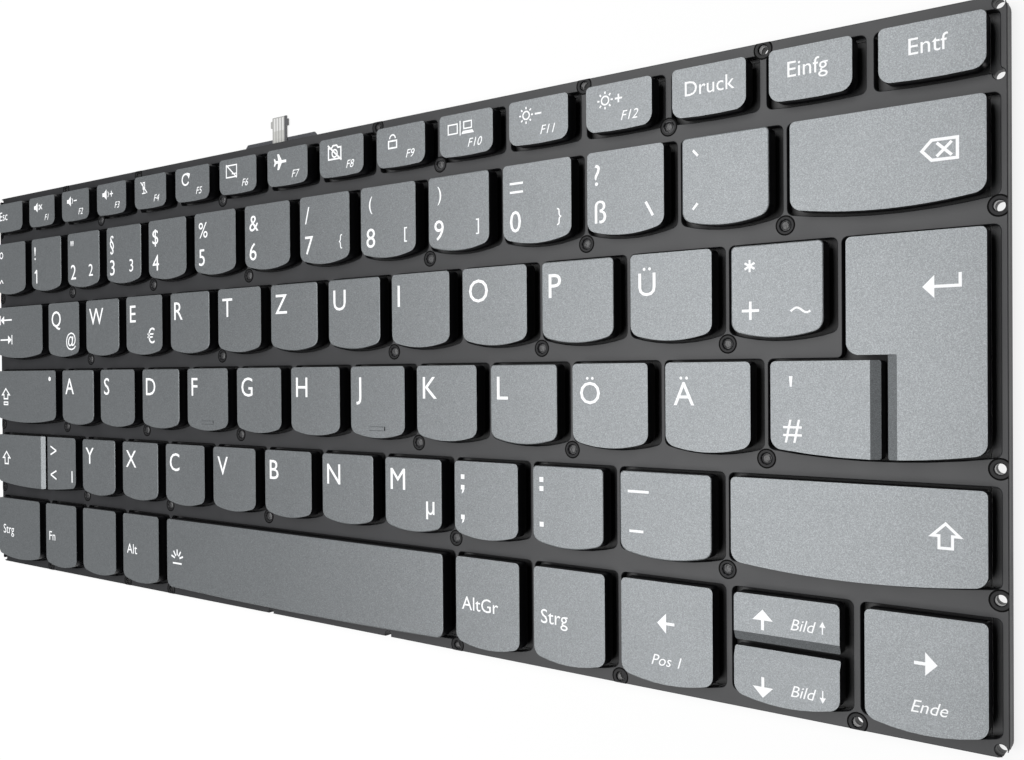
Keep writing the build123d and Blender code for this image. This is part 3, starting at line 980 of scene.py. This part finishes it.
def print_function_sign(number, sheet):
    """The sign and the slanted number of a function key."""
    label = "F%d" % number
    sheet.text(label, 8.2 if number < 10 else 7.2, number_base, number_height, word_slant)
    line = sign_line
    if number in (1, 2, 3):
        print_speaker(sheet, 2.6, line)
    if number == 1:
        sheet.bar((5.5, line - 0.7), (6.9, line + 0.7), fine_line)
        sheet.bar((5.5, line + 0.7), (6.9, line - 0.7), fine_line)
    if number in (2, 3, 11, 12):
        sheet.bar((6.0, line), (7.5, line), 0.32)
    if number in (3, 12):
        sheet.bar((6.75, line - 0.75), (6.75, line + 0.75), 0.32)
    if number == 4:
        sheet.outline(hair, (3.5, 1.5), (4.5, 1.5), (4.5, 3.4), (3.5, 3.4))
        sheet.bar((4.0, 3.4), (4.0, 4.4), hair)
        sheet.bar((3.2, 4.4), (4.8, 4.4), hair)
        sheet.bar((2.6, 1.4), (5.4, 4.4), fine_line)
    if number == 5:
        sheet.ring((4.1, line), 1.35, stroke, turns=0.78, start=0.08)
        sheet.patch((4.5, 1.2), (5.9, 1.6), (5.4, 2.9))
    if number == 6:
        sheet.outline(fine_line, (2.4, 1.4), (6.5, 1.4), (6.5, 4.5), (2.4, 4.5))
        sheet.bar((2.5, 1.3), (6.4, 4.6), 0.32)
        sheet.bar((4.6, 3.6), (6.4, 3.6), 0.26)
    if number == 7:
        sheet.bar((2.6, line), (6.4, line), 0.62)
        sheet.patch((5.1, line), (4.0, line - 1.8), (3.4, line - 1.8), (3.8, line))
        sheet.patch((5.1, line), (3.8, line), (3.4, line + 1.8), (4.0, line + 1.8))
        sheet.patch((3.2, line), (2.6, line - 0.85), (2.2, line - 0.85), (2.5, line))
        sheet.patch((3.2, line), (2.5, line), (2.2, line + 0.85), (2.6, line + 0.85))
    if number == 8:
        hump = [(2.6, 1.9), (3.7, 1.9), (4.1, 1.4), (5.4, 1.4), (5.8, 1.9), (6.8, 1.9)]
        sheet.outline(thin, *hump, (6.8, 4.7), (2.6, 4.7))
        sheet.ring((4.7, 3.3), 0.8, 0.34)
        sheet.bar((2.6, 1.4), (6.8, 4.9), 0.38)
    if number == 9:
        sheet.outline(0.34, (3.2, 2.8), (5.8, 2.8), (5.8, 4.6), (3.2, 4.6))
        sheet.ring((4.5, 2.5), 0.8, fine_line, turns=0.5, start=0.5)
    if number == 10:
        sheet.outline(0.26, (2.1, 1.9), (4.7, 1.9), (4.7, 4.0), (2.1, 4.0))
        sheet.bar((5.3, 1.5), (5.3, 4.4), 0.24)
        sheet.outline(0.26, (6.1, 1.7), (8.3, 1.7), (8.3, 3.3), (6.1, 3.3))
        sheet.patch((6.0, 3.6), (8.4, 3.6), (8.8, 4.2), (5.6, 4.2))
    if number in (11, 12):
        print_sun(sheet, 4.0, line)


def print_arrow(sheet, centre, way):
    """A short shaft with a solid head."""
    centre, way = Vector(centre), Vector(way)
    side = Vector((-way.y, way.x))
    sheet.bar(centre - way * 1.6, centre + way * 0.1, bold)
    sheet.patch(centre + way * 1.75, centre + side * 1.75, centre - side * 1.75)


def print_fixed_key(name, sheet):
    """The word or the sign of a key without a joint."""
    if name in small_words:
        sheet.text(*small_words[name])
    if name in slanted_words:
        sheet.text(*slanted_words[name], word_slant)
    if name[0] == "f" and name[1:].isdigit():
        print_function_sign(int(name[1:]), sheet)
    if name == "circumflex":
        sheet.ring((3.0, 3.4), 0.85, 0.34)
        sheet.bars(thin, (2.1, 11.8), (3.0, 10.7), (3.9, 11.8))
    if name == "hash":
        sheet.patch((3.1, 2.4), (3.7, 2.4), (3.55, 4.1), (3.25, 4.1))
        sheet.text("#", 2.1, 12.6, 3.6)
    if name == "less_than":
        sheet.bars(stroke, (1.2, 2.6), (4.2, 3.8), (1.2, 5.0))
        sheet.bars(stroke, (4.2, 9.5), (1.2, 10.7), (4.2, 11.9))
        sheet.bar((12.2, 9.2), (12.2, 12.4), bold)
    if name in arrows:
        print_arrow(sheet, *arrows[name])
    if name in ("up_arrow", "down_arrow"):
        tip = -1 if name == "up_arrow" else 1
        middle = 4.1 if name == "up_arrow" else 4.4
        sheet.bar((14.9, middle - 0.9), (14.9, middle + 0.9), 0.2)
        sheet.patch((14.9, middle + tip * 1.1), (14.4, middle + tip * 0.2), (15.4, middle + tip * 0.2))


form = cad_form("fixed_keys")
fixed_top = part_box("fixed_keys")[1].z
level_slope = 0.99
places = []
for face in form.faces:
    if face.normal.z > level_slope and face.calc_center_median().z > fixed_top - weld:
        left = min(vertex.co.x for vertex in face.verts)
        rear = max(vertex.co.y for vertex in face.verts)
        places.append((-round(rear, 5), left))
soften_cap(form)
for name, (rear, left) in zip(fixed_names, sorted(places)):
    print_fixed_key(name, Print(form, left, -rear, fixed_top))
piece("fixed_caps", form, "chassis", cap_skins, "caps", "fixed_keys")

low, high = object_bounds()
